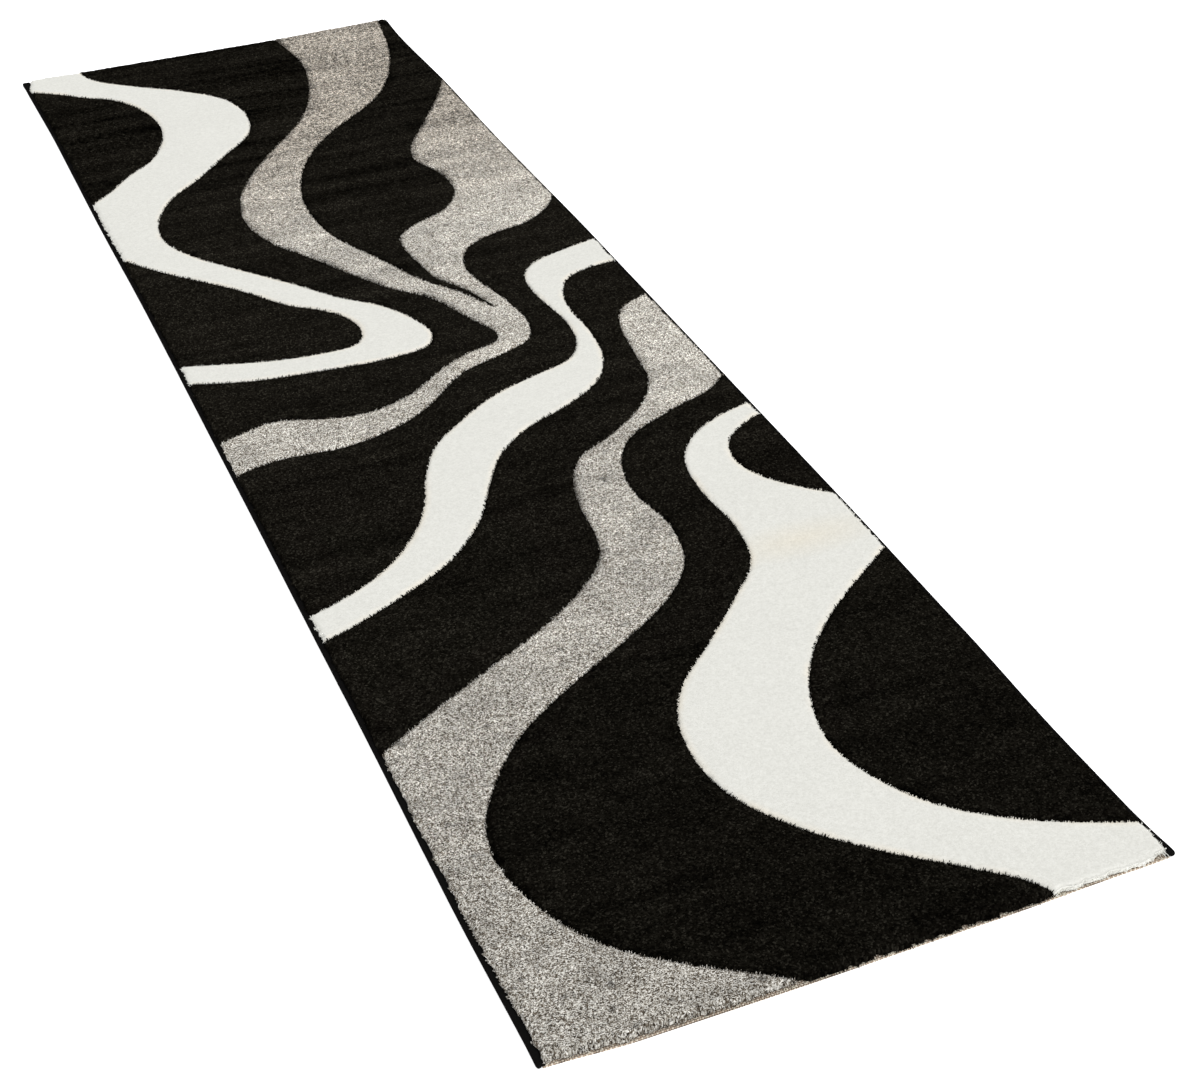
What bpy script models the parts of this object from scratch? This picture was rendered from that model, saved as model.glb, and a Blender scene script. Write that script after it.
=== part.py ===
"""Runner rug with carved cut pile, in metres, +Z up.

The origin is the middle of the rug on the floor. +Y runs along the rug to its far end and
+X across it to its right long side.
"""

import math

import bmesh
import bpy
from mathutils import Vector
from mathutils.geometry import interpolate_bezier

# Driving dimensions
RUG_WIDTH = 0.800
RUG_LENGTH = 3.000
RUG_HEIGHT = 0.013
GAP = 0.0003  # air between neighbouring pieces
WEAVE_THICKNESS = 0.003

BINDING_WIDTH = 0.0067  # the overcast long side, as a tube of yarn
BINDING_HEIGHT = 0.0064
BINDING_WALL = 0.0012
CORD_RADIUS = 0.00185
SELVEDGE_THICKNESS = 0.0012  # the edge of the weave that the binding grips
SELVEDGE_REACH = 0.0014
BINDING_STEPS = 14  # round the outside of the binding
CORD_SIDES = 12

HEADER_PICKS = 4  # thick weft threads past the last tufts, side by side
HEADER_PICK_WIDTH = 0.0029
HEADER_HEIGHT = 0.0024
PICK_STEPS = 4  # over one thread
HEADER_PROUD = 0.0035  # how far the header shows past the pile

CARVE_WIDTH = 0.001  # the sloped shoulder along each cut between two colours
CARVE_DEPTH = 0.002
OUTLINE_STEP = 0.022  # longest chord on a colour's outline
SHORTEST_EDGE = 0.0045  # a shorter edge left by trimming would fold over in the shoulder

# Worked out from them
BINDING_INNER_X = RUG_WIDTH / 2 - BINDING_WIDTH
PILE_HALF_WIDTH = BINDING_INNER_X - GAP
PILE_HALF_LENGTH = RUG_LENGTH / 2 - HEADER_PROUD
PILE_BASE = WEAVE_THICKNESS + GAP
HEADER_WIDTH = HEADER_PICKS * HEADER_PICK_WIDTH
WEAVE_HALF_LENGTH = RUG_LENGTH / 2 - HEADER_WIDTH - GAP

# Lines that the design is drawn between, a little outside the pile's own edges
CM = 0.01
SIDE = 41
END = 151.5

# The lines where two colours meet, as the points that each smooth line runs through, in
# centimetres from the middle of the rug: first across, then along.
FAR_CAP_LINE = (
    (-SIDE, 144), (-34.5, 139.5), (-30, 135.2), (-25.5, 132), (-21.8, 126), (-19.6, 118),
    (-19.8, 110), (-22.1, 102.8), (-25.3, 97.5), (-30.2, 93), (-34.8, 87.5), (-SIDE, 81.7),
)
FAR_WHITE_LINE = (
    (-29, END), (-26.7, 144), (-20.9, 138), (-10.4, 129.2), (-4.4, 122), (-2.2, 112.7),
    (-4.4, 102.2), (-10.8, 94.6), (-18.3, 86), (-26, 78), (-30.2, 68.5), (-30.5, 61.5),
    (-27.6, 54), (-21.2, 45), (-13.8, 35.2), (-8.3, 27.2), (-2.7, 21.3), (1.2, 13.4),
    (2.1, 7.9), (0.2, 4.4), (-7.3, 3), (-18.2, 3.8), (-30, 5.6), (-SIDE, 9.3),
)
TONGUE_LINE = (
    (-SIDE, 60), (-35.2, 51.6), (-27.2, 42.2), (-22.7, 36.7), (-17.2, 28.5), (-11.8, 23.5),
    (-8.9, 18.7), (-8.4, 13.8), (-10.2, 10), (-16.2, 9.3), (-25.2, 10.6), (-33, 13),
    (-SIDE, 15.5),
)
FAR_GREY_LINE = (
    (13.8, END), (15.1, 141.3), (15.6, 133.8), (14, 123.3), (11, 112.8), (6.2, 103.2),
    (-1.4, 93.2), (-8.8, 83), (-13.7, 72.7), (-15.2, 62.6), (-13.3, 53.2), (-8, 43.2),
    (-0.3, 28.3), (6.2, 19.8), (9.7, 9.8), (12, 3.7), (10.7, 0.9), (5.2, -1), (-0.3, -4),
    (-7.3, -9.6), (-15.2, -12.3), (-21.2, -11.6), (-29.6, -8.7), (-35, -10), (-SIDE, -12.2),
)
FORK_LEFT_LINE = (
    (38, END), (36.8, 143), (34.6, 132.4), (30, 119), (24.6, 109.4), (16.6, 101.3),
    (8.6, 93.5), (1.6, 82.7), (-2.4, 71.2), (-3.5, 61.2), (-2, 49.5), (2, 39.3), (6.7, 27.4),
    (11, 20.4), (14.6, 12.4),
)
FORK_RIGHT_LINE = (
    (SIDE, 115.8), (35.5, 103.7), (29, 92.4), (23, 82.3), (21.6, 76.8), (24, 68), (24, 59.4),
    (19.6, 52.4), (13, 49), (8.8, 45.4), (7.8, 39.4), (8.5, 32.4), (9.2, 27), (12.3, 21),
    (15.1, 12.4),
)
UPPER_LINE = (
    (SIDE, 52.6), (36, 44.7), (31, 40.8), (24.6, 39.3), (18.3, 35.8), (15.4, 30), (15.2, 25),
    (17.4, 14), (18, 5), (16, -0.6), (10.6, -3.5), (2.7, -6.4), (-7.3, -15.3), (-14.7, -19.2),
    (-22.2, -20.7), (-31, -20), (-36, -20.7), (-SIDE, -22.3),
)
MIDDLE_WHITE_LINE = (
    (SIDE, 29.9), (32.6, 27.4), (26.6, 25), (23.4, 21), (22.7, 14.5), (23.8, 2.5), (22.8, -5),
    (19.6, -9.8), (11.6, -12.8), (4.2, -15.8), (-3.8, -21.6), (-9.2, -26.6), (-13.2, -34),
    (-16.4, -42.6), (-21.2, -50), (-27.6, -56), (-34, -59.5), (-SIDE, -62),
)
MIDDLE_BLACK_LINE = (
    (SIDE, 19.8), (34, 19), (29.6, 16.5), (26.8, 11), (26, 5), (26.2, -1.5), (25, -11),
    (21.4, -18), (14, -23.4), (5.7, -27.3), (-0.8, -33), (-5.2, -40.2), (-10.2, -49.3),
    (-17, -56.7), (-25.6, -62), (-34, -66), (-SIDE, -68.6),
)
NEAR_GREY_LINE = (
    (SIDE, 6.5), (34.2, 3), (31.4, -3), (30, -12.4), (28.4, -22), (24, -28.8), (16.7, -34.7),
    (9.7, -39), (6.3, -45), (4.5, -52.5), (3.9, -59.4), (1.9, -65.7), (-3.2, -71.4),
    (-11.2, -77.4), (-21, -83), (-31, -88.8), (-SIDE, -95),
)
NEAR_BLACK_LINE = (
    (SIDE, -23.2), (35.5, -28.6), (29, -31.4), (19.6, -36.2), (15.8, -41), (13.3, -50),
    (14.6, -61.4), (12.7, -71), (7.2, -78), (-2.3, -84.8), (-14.2, -92), (-22.2, -98),
    (-28, -105), (-32, -112.3), (-33, -118.8), (-31, -128.7), (-26.5, -137), (-20, -142.7),
    (-12.6, -147.4), (-6, -END),
)
NEAR_WHITE_LINE = (
    (SIDE, -34.2), (33, -37), (27, -41.3), (23.6, -46.8), (22.5, -55.3), (23, -66.3),
    (21, -75.3), (16, -81.3), (7.7, -90), (0.7, -97), (-3, -104.2), (-4, -112.7), (-2.6, -120),
    (2.4, -128.6), (9.4, -136.2), (16.7, -142.3), (21.7, -146.7), (25, -END),
)
LENS_LINE = (
    (SIDE, -37.6), (34.5, -41.5), (31.8, -44.8), (30.7, -50), (32.3, -55.5), (36, -60.8),
    (SIDE, -65.8),
)
BAY_LINE = (
    (SIDE, -78.2), (32.5, -85.2), (25, -91.5), (19, -98.3), (15, -105.6), (12.8, -114.5),
    (13.8, -121.5), (18.6, -130.7), (25.6, -137), (32.5, -141), (SIDE, -145),
)


def smooth_line(points):
    """Samples one smooth line through the points, as round spans with chords under OUTLINE_STEP."""
    knots = [Vector(point) * CM for point in points]
    ends = [2 * knots[0] - knots[1]] + knots + [2 * knots[-1] - knots[-2]]
    line = [knots[0]]
    for before, start, stop, after in zip(ends, ends[1:], ends[2:], ends[3:]):
        span = (stop - start).length
        leave = span_handle(before, start, stop)
        arrive = span_handle(after, stop, start)
        steps = max(2, math.ceil(span / OUTLINE_STEP))
        line += interpolate_bezier(start, leave, arrive, stop, steps + 1)[1:]
    return line


def span_handle(behind, knot, ahead):
    """The handle at a knot towards the one ahead, so that uneven spans join without a kink."""
    back = math.sqrt((knot - behind).length)
    fore = math.sqrt((ahead - knot).length)
    weighted = back**2 * ahead - fore**2 * behind
    weighted += (2 * back**2 + 3 * back * fore + fore**2) * knot
    return weighted / (3 * back * (back + fore))


def clear_scene():
    for old in list(bpy.data.objects):
        bpy.data.objects.remove(old, do_unlink=True)


def make_material(name, colour, roughness, metallic=0.0):
    material = bpy.data.materials.new(name)
    material.use_nodes = True
    shader = material.node_tree.nodes["Principled BSDF"]
    shader.inputs["Base Color"].default_value = (*colour, 1.0)
    shader.inputs["Roughness"].default_value = roughness
    shader.inputs["Metallic"].default_value = metallic
    return material


def finish_object(name, bm, material):
    """Closes off one sub-part: faces outwards, one material, linked to the scene."""
    bmesh.ops.recalc_face_normals(bm, faces=bm.faces)
    mesh = bpy.data.meshes.new(name)
    bm.to_mesh(mesh)
    bm.free()
    mesh.materials.append(material)
    obj = bpy.data.objects.new(name, mesh)
    bpy.context.scene.collection.objects.link(obj)
    return obj


def extruded(bm, corners, direction):
    """Fills the outline through the corners and pulls it along direction into a solid."""
    face = bm.faces.new([bm.verts.new(corner) for corner in corners])
    pulled = bmesh.ops.extrude_face_region(bm, geom=[face])["geom"]
    moved = [item for item in pulled if isinstance(item, bmesh.types.BMVert)]
    bmesh.ops.translate(bm, verts=moved, vec=direction)


def make_ground_weave(material):
    """The woven backing: a flat slab whose thinner selvedges run into the bindings."""
    low = WEAVE_THICKNESS - SELVEDGE_THICKNESS
    reach = PILE_HALF_WIDTH + SELVEDGE_REACH
    right_half = (
        (PILE_HALF_WIDTH, 0), (PILE_HALF_WIDTH, low), (reach, low), (reach, WEAVE_THICKNESS),
    )
    section = right_half + tuple((-x, z) for x, z in reversed(right_half))
    bm = bmesh.new()
    corners = [(x, -WEAVE_HALF_LENGTH, z) for x, z in section]
    extruded(bm, corners, (0, 2 * WEAVE_HALF_LENGTH, 0))
    return finish_object("ground_weave", bm, material)


def arc_with_slot(half_width, half_height, slot_low, slot_high):
    """An oval section's points round from the slot's upper lip to its lower lip."""
    first = math.pi - math.asin((slot_high - half_height) / half_height)
    last = -math.pi - math.asin((slot_low - half_height) / half_height)
    for step in range(BINDING_STEPS + 1):
        angle = first + (last - first) * step / BINDING_STEPS
        yield half_width * math.cos(angle), half_height * math.sin(angle)


def make_overcast_edge(name, side, material):
    """The binding of one long side: a tube of overcasting yarn, slit for the selvedge."""
    half_width, half_height = BINDING_WIDTH / 2, BINDING_HEIGHT / 2
    slot_low = WEAVE_THICKNESS - SELVEDGE_THICKNESS - GAP
    slot_high = WEAVE_THICKNESS + GAP
    outer = list(arc_with_slot(half_width, half_height, slot_low, slot_high))
    inner = arc_with_slot(
        half_width - BINDING_WALL,
        half_height - BINDING_WALL,
        slot_low - BINDING_WALL,
        slot_high - BINDING_WALL,
    )
    middle = RUG_WIDTH / 2 - half_width
    section = [(side * (middle + x), half_height + z) for x, z in outer + list(inner)[::-1]]
    bm = bmesh.new()
    extruded(bm, [(x, -RUG_LENGTH / 2, z) for x, z in section], (0, RUG_LENGTH, 0))
    return finish_object(name, bm, material)


def make_edge_cord(name, side, material):
    """The filler cord inside a binding."""
    bm = bmesh.new()
    bmesh.ops.create_cone(
        bm,
        cap_ends=True,
        segments=CORD_SIDES,
        radius1=CORD_RADIUS,
        radius2=CORD_RADIUS,
        depth=RUG_LENGTH - 2 * GAP,
    )
    for face in bm.faces:
        face.smooth = len(face.verts) == 4
    obj = finish_object(name, bm, material)
    obj.location = (side * (RUG_WIDTH - BINDING_WIDTH) / 2, 0, BINDING_HEIGHT / 2)
    obj.rotation_euler = (math.pi / 2, 0, 0)
    return obj


def make_end_header(name, end, material):
    """The picks woven past the last tufts: thick threads side by side across the rug."""
    outer_y = RUG_LENGTH / 2
    section = [(outer_y - HEADER_WIDTH, 0), (outer_y, 0)]
    for pick in range(HEADER_PICKS):
        middle = outer_y - HEADER_PICK_WIDTH * (pick + 0.5)
        for step in range(PICK_STEPS + (pick == HEADER_PICKS - 1)):
            angle = math.pi * step / PICK_STEPS
            rise = HEADER_HEIGHT / 2 * (1 + math.sin(angle))
            section.append((middle + HEADER_PICK_WIDTH / 2 * math.cos(angle), rise))
    bm = bmesh.new()
    corners = [(-PILE_HALF_WIDTH, end * y, z) for y, z in section]
    extruded(bm, corners, (2 * PILE_HALF_WIDTH, 0, 0))
    return finish_object(name, bm, material)


def make_pile_field(name, outline, material):
    """One colour of cut pile: its outline trimmed to the pile's edges, raised, shoulders sloped."""
    bm = bmesh.new()
    bm.faces.new([bm.verts.new((*point, PILE_BASE)) for point in outline])
    bm.normal_update()
    for axis, limit in (((1, 0, 0), PILE_HALF_WIDTH), ((0, 1, 0), PILE_HALF_LENGTH)):
        for way in (1, -1):
            outwards = way * Vector(axis)
            bmesh.ops.bisect_plane(
                bm,
                geom=bm.verts[:] + bm.edges[:] + bm.faces[:],
                plane_co=outwards * limit,
                plane_no=outwards,
                clear_outer=True,
            )
    bmesh.ops.remove_doubles(bm, verts=bm.verts, dist=SHORTEST_EDGE)
    bm.faces.ensure_lookup_table()
    field = bm.faces[0]
    rim = bmesh.ops.inset_individual(bm, faces=[field], thickness=GAP, use_even_offset=True)
    bmesh.ops.delete(bm, geom=rim["faces"], context="FACES")
    pulled = bmesh.ops.extrude_face_region(bm, geom=[field])["geom"]
    top = next(item for item in pulled if isinstance(item, bmesh.types.BMFace))
    bmesh.ops.translate(bm, verts=top.verts, vec=(0, 0, RUG_HEIGHT - CARVE_DEPTH - PILE_BASE))
    bmesh.ops.inset_individual(bm, faces=[top], thickness=CARVE_WIDTH, use_even_offset=True)
    bmesh.ops.translate(bm, verts=top.verts, vec=(0, 0, CARVE_DEPTH))
    return finish_object(name, bm, material)


def make_pile_fields(black, white, grey):
    far_cap = smooth_line(FAR_CAP_LINE)
    far_white = smooth_line(FAR_WHITE_LINE)
    tongue = smooth_line(TONGUE_LINE)
    far_grey = smooth_line(FAR_GREY_LINE)
    fork_left = smooth_line(FORK_LEFT_LINE)
    fork_right = smooth_line(FORK_RIGHT_LINE)
    upper = smooth_line(UPPER_LINE)
    middle_white = smooth_line(MIDDLE_WHITE_LINE)
    middle_black = smooth_line(MIDDLE_BLACK_LINE)
    near_grey = smooth_line(NEAR_GREY_LINE)
    near_black = smooth_line(NEAR_BLACK_LINE)
    near_white = smooth_line(NEAR_WHITE_LINE)
    lens = smooth_line(LENS_LINE)
    bay = smooth_line(BAY_LINE)
    far_left = [Vector((-SIDE, END)) * CM]
    far_right = [Vector((SIDE, END)) * CM]
    near_left = [Vector((-SIDE, -END)) * CM]
    near_right = [Vector((SIDE, -END)) * CM]

    # Each outline follows its lines in turn, the second of a pair backwards.
    fields = (
        ("far_left_black_cap", black, far_cap),
        ("far_white_band", white, far_white + tongue[::-1] + far_cap[::-1] + far_left),
        ("left_black_tongue", black, tongue),
        ("far_black_band", black, far_grey + far_white[::-1]),
        ("far_grey_fork", grey, fork_left + fork_right[::-1] + upper + far_grey[::-1]),
        ("far_right_black_wedge", black, fork_left + fork_right[::-1] + far_right),
        ("upper_black_band", black, middle_white + upper[::-1]),
        ("middle_white_band", white, middle_black + middle_white[::-1]),
        ("middle_black_band", black, near_grey + middle_black[::-1]),
        ("near_grey_band", grey, near_black + near_left + near_grey[::-1]),
        ("near_black_band", black, near_white + near_black[::-1]),
        ("near_white_band", white, lens + bay + near_right + near_white[::-1]),
        ("right_black_lens", black, lens),
        ("near_right_black_bay", black, bay),
    )
    for name, material, outline in fields:
        make_pile_field(name, outline, material)


def build():
    clear_scene()
    black = make_material("black_pile", (0.010, 0.008, 0.006), 0.95)
    white = make_material("white_pile", (0.84, 0.82, 0.77), 0.95)
    grey = make_material("grey_pile", (0.38, 0.35, 0.31), 0.95)
    binding = make_material("black_overcast_yarn", (0.006, 0.006, 0.006), 0.80)
    cord = make_material("cotton_filler_cord", (0.55, 0.50, 0.42), 0.90)
    weave = make_material("tan_ground_weave", (0.45, 0.35, 0.26), 0.90)

    make_ground_weave(weave)
    for name, side in (("left", -1), ("right", 1)):
        make_overcast_edge(f"{name}_overcast_edge", side, binding)
        make_edge_cord(f"{name}_edge_cord", side, cord)
    for name, end in (("near", -1), ("far", 1)):
        make_end_header(f"{name}_end_header", end, weave)
    make_pile_fields(black, white, grey)


build()
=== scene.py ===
import math
import random

import bmesh
import bpy
from mathutils import Matrix, Vector, noise
from mathutils.kdtree import KDTree


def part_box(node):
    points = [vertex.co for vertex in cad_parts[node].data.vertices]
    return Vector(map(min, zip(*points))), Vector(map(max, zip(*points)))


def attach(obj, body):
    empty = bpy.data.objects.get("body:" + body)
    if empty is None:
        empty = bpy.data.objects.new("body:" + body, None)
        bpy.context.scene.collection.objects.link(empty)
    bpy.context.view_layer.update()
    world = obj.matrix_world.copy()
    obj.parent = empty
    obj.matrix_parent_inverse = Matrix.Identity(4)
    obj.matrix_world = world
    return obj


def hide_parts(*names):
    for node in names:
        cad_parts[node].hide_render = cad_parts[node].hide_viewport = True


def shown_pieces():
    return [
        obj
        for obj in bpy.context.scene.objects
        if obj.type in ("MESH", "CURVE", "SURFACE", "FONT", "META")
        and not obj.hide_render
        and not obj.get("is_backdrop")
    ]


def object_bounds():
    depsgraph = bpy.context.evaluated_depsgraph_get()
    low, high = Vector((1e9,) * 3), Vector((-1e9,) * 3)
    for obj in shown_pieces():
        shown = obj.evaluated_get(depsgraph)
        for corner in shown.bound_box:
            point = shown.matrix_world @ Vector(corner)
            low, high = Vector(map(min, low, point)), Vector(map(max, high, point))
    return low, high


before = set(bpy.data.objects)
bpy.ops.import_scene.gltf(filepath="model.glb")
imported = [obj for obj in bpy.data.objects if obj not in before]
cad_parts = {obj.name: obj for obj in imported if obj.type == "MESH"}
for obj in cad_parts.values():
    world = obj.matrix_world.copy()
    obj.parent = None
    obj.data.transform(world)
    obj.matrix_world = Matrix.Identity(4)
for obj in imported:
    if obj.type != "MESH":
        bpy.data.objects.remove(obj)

# A runner rug of carved cut pile, laid flat. Metres, +Y along the rug, +X across it, +Z up.
# The CAD pieces give every outline; this script gives them yarn, relief and raggedness.

cadBounds = [list(corner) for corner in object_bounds()]
print("frame loaded:", len(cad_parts), "pieces")

rugHalfWidth = cadBounds[1][0]
rugHalfLength = cadBounds[1][1]
mergeDistance = 0.00001
upwards = Vector((0, 0, 1))


def mergedCopy(nodeName):
    # a CAD piece's triangles are loose, so the copy is joined up
    bm = bmesh.new()
    bm.from_mesh(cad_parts[nodeName].data)
    bmesh.ops.remove_doubles(bm, verts=bm.verts, dist=mergeDistance)
    bmesh.ops.recalc_face_normals(bm, faces=bm.faces)
    return bm


def smoothFall(distance, width):
    # 1 at the edge, 0 from width inwards
    share = min(max(distance / width, 0.0), 1.0)
    return 1 - share * share * (3 - 2 * share)


# A rug never lies quite straight. Each row is a place along or across it, in metres, and how far
# that side or end lies to the right of, or beyond, its nominal line there, in millimetres.
layLook = {
    "leftSide": ((-1.5, 0), (-1.25, -2), (-0.8, 1), (-0.2, 3), (0.35, 4), (0.8, 1), (1.15, 1.5), (1.5, -3)),
    "rightSide": ((-1.5, 6), (-1.4, 2), (-1.25, 1), (-1.0, 5.5), (-0.65, 8), (-0.2, 8), (0.3, 7.5),
                  (0.85, 1.5), (1.1, 3), (1.4, -3), (1.5, 0)),
    "nearEnd": ((-0.4, 1.5), (-0.28, 8), (-0.1, 8.5), (0.15, 6), (0.35, 1.5), (0.4, 0)),
    "farEnd": ((-0.4, 5.5), (-0.28, 1.5), (-0.1, 1.5), (0.15, 1.5), (0.28, 8), (0.4, 14)),
    "sideReach": 0.10, "endReach": 0.12,
}
millimetre = 0.001


def curveAt(points, place):
    for (start, first), (stop, second) in zip(points, points[1:]):
        if place <= stop:
            return second + (first - second) * smoothFall(place - start, stop - start)
    return points[-1][1]


def settle(bm):
    # moves only what is near a side or an end
    for vert in bm.verts:
        x, y = vert.co.x, vert.co.y
        sideShare = 1 - smoothFall(abs(x) - rugHalfWidth + layLook["sideReach"], layLook["sideReach"])
        endShare = 1 - smoothFall(abs(y) - rugHalfLength + layLook["endReach"], layLook["endReach"])
        if sideShare:
            side = layLook["rightSide"] if x > 0 else layLook["leftSide"]
            vert.co.x += sideShare * curveAt(side, y) * millimetre
        if endShare:
            end = layLook["farEnd"] if y > 0 else layLook["nearEnd"]
            vert.co.y += endShare * curveAt(end, x) * math.copysign(millimetre, y)


def finishPiece(name, bm, material, smooth=True):
    # every piece ends here: settled, one material, smooth faces, riding with the rug
    settle(bm)
    for face in bm.faces:
        face.smooth = smooth and len(face.verts) < 5
    mesh = bpy.data.meshes.new(name)
    bm.to_mesh(mesh)
    bm.free()
    mesh.materials.append(material)
    piece = bpy.data.objects.new(name, mesh)
    bpy.context.scene.collection.objects.link(piece)
    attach(piece, "root")
    return piece


def wrapGrid(columns, rings, placeAt):
    # rolls a grid into a closed tube: placeAt(column, ring) says where each vertex goes
    bm = bmesh.new()
    bmesh.ops.create_grid(bm, x_segments=columns, y_segments=rings, size=1)
    for vert in bm.verts:
        column = round((vert.co.x + 1) / 2 * columns) % columns
        ring = round((vert.co.y + 1) / 2 * rings)
        vert.co = placeAt(column, ring)
    bmesh.ops.remove_doubles(bm, verts=bm.verts, dist=mergeDistance)
    openEdges = [edge for edge in bm.edges if edge.is_boundary]
    bmesh.ops.holes_fill(bm, edges=openEdges, sides=0)
    bmesh.ops.recalc_face_normals(bm, faces=bm.faces)
    return bm


def newGroup(name, inputs, outputs):
    group = bpy.data.node_groups.new(name, "ShaderNodeTree")
    for label, kind, value in inputs:
        socket = group.interface.new_socket(name=label, in_out="INPUT", socket_type=kind)
        if value is not None:
            socket.default_value = value
    for label, kind in outputs:
        group.interface.new_socket(name=label, in_out="OUTPUT", socket_type=kind)
    return group, group.nodes.new("NodeGroupInput"), group.nodes.new("NodeGroupOutput")


def addNode(tree, kind, sockets=None, **settings):
    # sockets maps an input's name or number to a value, or to the output that feeds it
    node = tree.nodes.new(kind)
    for label, value in settings.items():
        setattr(node, label, value)
    for label, value in (sockets or {}).items():
        if isinstance(value, bpy.types.NodeSocket):
            tree.links.new(value, node.inputs[label])
        else:
            node.inputs[label].default_value = value
    return node


def addMath(tree, operation, first, second=0.0):
    return addNode(tree, "ShaderNodeMath", {0: first, 1: second}, operation=operation).outputs[0]


def addNoise(tree, place, perMetre, detail):
    return addNode(
        tree, "ShaderNodeTexNoise", {"Vector": place, "Scale": perMetre, "Detail": detail}
    ).outputs[0]


def addRange(tree, value, low, high, lowest=0.0):
    # low gives lowest, high gives 1
    return addNode(
        tree, "ShaderNodeMapRange", {"Value": value, 1: low, 2: high, 3: lowest, 4: 1.0}
    ).outputs[0]


def addRamp(tree, factor, stops):
    ramp = addNode(tree, "ShaderNodeValToRGB", {"Fac": factor})
    elements = ramp.color_ramp.elements
    for place, colour in stops[1:-1]:
        elements.new(place)
    for element, (place, colour) in zip(elements, stops):
        element.position = place
        element.color = (*colour, 1)
    return ramp.outputs["Color"]


floatKind = "NodeSocketFloat"
vectorKind = "NodeSocketVector"


grainShape = {
    "wanderPerMetre": 260.0, "wanderStep": (0.0014, 0.0014, 0.0),  # keeps the tufts off straight rows
    "fibresPerTuft": 2.2, "clumpsPerTuft": 0.28,
}


def makeTuftGrain():
    # one random number for each tuft of yarn, held down its whole length, and its rounded tip
    group, start, end = newGroup(
        "tuftGrain",
        (("Vector", vectorKind, None), ("Tuft Size", floatKind, 0.002), ("Height Hold", floatKind, 0.15)),
        (("Tuft", floatKind), ("Fibre", floatKind), ("Clump", floatKind), ("Tip", floatKind)),
    )
    hold = addNode(group, "ShaderNodeCombineXYZ", {0: 1.0, 1: 1.0, 2: start.outputs["Height Hold"]})
    squashed = addNode(
        group, "ShaderNodeVectorMath",
        {0: start.outputs["Vector"], 1: hold.outputs[0]}, operation="MULTIPLY",
    )
    wander = addNode(
        group, "ShaderNodeTexNoise",
        {"Vector": squashed.outputs[0], "Scale": grainShape["wanderPerMetre"], "Detail": 1.0},
    )
    wanderStep = addNode(
        group, "ShaderNodeVectorMath",
        {0: wander.outputs["Color"], 1: grainShape["wanderStep"]}, operation="MULTIPLY",
    )
    place = addNode(
        group, "ShaderNodeVectorMath",
        {0: squashed.outputs[0], 1: wanderStep.outputs[0]}, operation="ADD",
    )
    perMetre = addMath(group, "DIVIDE", 1.0, start.outputs["Tuft Size"])
    cells = addNode(
        group, "ShaderNodeTexVoronoi", {"Vector": place.outputs[0], "Scale": perMetre}
    )
    channels = addNode(group, "ShaderNodeSeparateColor", {"Color": cells.outputs["Color"]})
    fibreScale = addMath(group, "MULTIPLY", perMetre, grainShape["fibresPerTuft"])
    clumpScale = addMath(group, "MULTIPLY", perMetre, grainShape["clumpsPerTuft"])
    fibre = addNode(
        group, "ShaderNodeTexNoise",
        {"Vector": start.outputs["Vector"], "Scale": fibreScale, "Detail": 2.0},
    )
    clump = addNode(
        group, "ShaderNodeTexNoise",
        {"Vector": place.outputs[0], "Scale": clumpScale, "Detail": 1.0},
    )
    tip = addMath(group, "SUBTRACT", 1.0, cells.outputs["Distance"])
    group.links.new(channels.outputs["Red"], end.inputs["Tuft"])
    group.links.new(fibre.outputs[0], end.inputs["Fibre"])
    group.links.new(clump.outputs[0], end.inputs["Clump"])
    group.links.new(tip, end.inputs["Tip"])
    return group


paintedShadeAlongRug = (  # painted pile shading along the rug, from the near end to the far end, 0.5 is neutral
    (0.0, 0.10), (0.13, 0.20), (0.24, 0.45), (0.35, 0.60), (0.47, 0.85), (0.57, 0.90),
    (0.67, 0.80), (0.74, 0.60), (0.79, 0.22), (0.88, 0.08), (1.0, 0.12),
)
paintedShadingShape = {
    "bandTurn": (0, 0, 0.05), "bandScale": (1.6, 26.0, 1.0), "nearBandShare": 0.3,
    "cloudsPerMetre": 13.0,
    "rightFrom": 0.12, "rightTo": 0.36, "farFrom": 0.45, "farTo": 1.0,
    "darkest": 0.3,
}


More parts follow.
